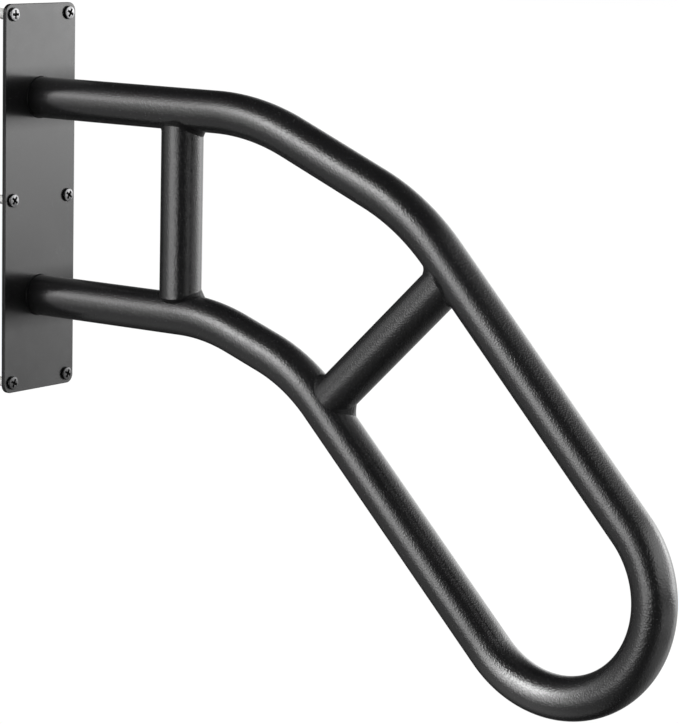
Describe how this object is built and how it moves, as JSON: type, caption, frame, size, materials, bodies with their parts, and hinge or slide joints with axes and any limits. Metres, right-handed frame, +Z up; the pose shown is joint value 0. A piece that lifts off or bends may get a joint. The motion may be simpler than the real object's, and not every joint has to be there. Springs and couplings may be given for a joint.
{
  "type": "wall-plate assist rail",
  "caption": "Round steel tube grab rail looping out and down from a flat screw-on wall plate, braced by an upright strut and a diagonal strut; it gives a hand hold beside a bed or wall.",
  "frame": {"origin": "centre of the wall plate's back face, the face that lies on the wall", "axes": "+X points out of the wall along the level runs of the tube, +Z is up along the plate's long side, Y is across the plate and the rail's centreline lies at Y = 0"},
  "size_m": [0.631, 0.08, 0.4807],
  "materials": {
    "plate": "satin black powder coat, fine texture",
    "tube": "semi-matt black powder coat, fine orange-peel texture",
    "weld": "black powder coat over smooth weld beads",
    "screw": "zinc-plated steel, cross recess dark inside",
    "plug": "pale grey nylon, ribbed"
  },
  "bodies": {
    "root": {"wall_plate": "plate", "rail_tube": "tube", "vertical_strut": "tube", "diagonal_strut": "tube", "upper_plate_weld": "weld", "lower_plate_weld": "weld", "vertical_strut_top_weld": "weld", "vertical_strut_bottom_weld": "weld", "diagonal_strut_top_weld": "weld", "diagonal_strut_bottom_weld": "weld", "top_left_screw": "screw", "top_left_wall_plug": "plug", "top_right_screw": "screw", "top_right_wall_plug": "plug", "middle_left_screw": "screw", "middle_left_wall_plug": "plug", "middle_right_screw": "screw", "middle_right_wall_plug": "plug", "bottom_left_screw": "screw", "bottom_left_wall_plug": "plug", "bottom_right_screw": "screw", "bottom_right_wall_plug": "plug"}
  },
  "joints": []
}
